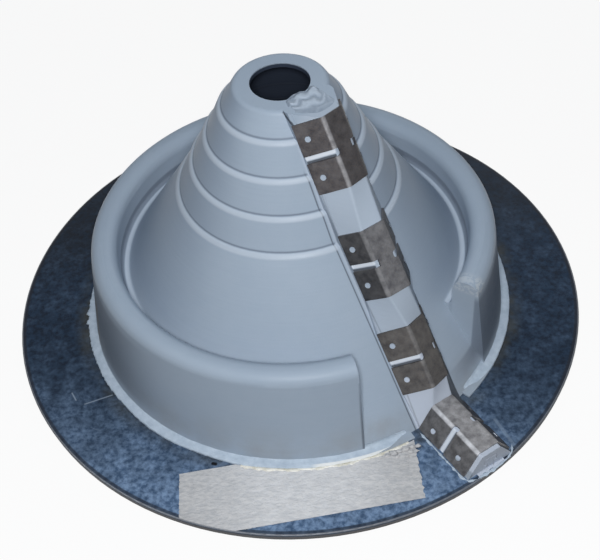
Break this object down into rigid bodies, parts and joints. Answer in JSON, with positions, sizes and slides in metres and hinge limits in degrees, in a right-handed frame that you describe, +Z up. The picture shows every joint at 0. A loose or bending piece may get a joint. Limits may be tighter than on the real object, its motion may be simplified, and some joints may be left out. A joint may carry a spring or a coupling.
{
  "type": "pipe flashing boot",
  "caption": "Stepped rubber cone on a flat round metal ring, split down one side and closed by clips, that seals a pipe through a roof.",
  "frame": {"origin": "centre of the flat underside", "axes": "+Z up the pipe; the front, with the seam to its right, faces -Y"},
  "size_m": [0.3, 0.3, 0.1501],
  "materials": {
    "boot_rubber": "satin moulded rubber, blue-grey",
    "ring_metal": "thin dark coating, mottled",
    "clip_metal": "dark oxidised sheet"
  },
  "bodies": {
    "root": {"boot": "boot_rubber", "base_ring": "ring_metal", "seam_clip_top": "clip_metal", "seam_clip_upper": "clip_metal", "seam_clip_lower": "clip_metal", "seam_clip_base": "clip_metal"}
  },
  "joints": []
}
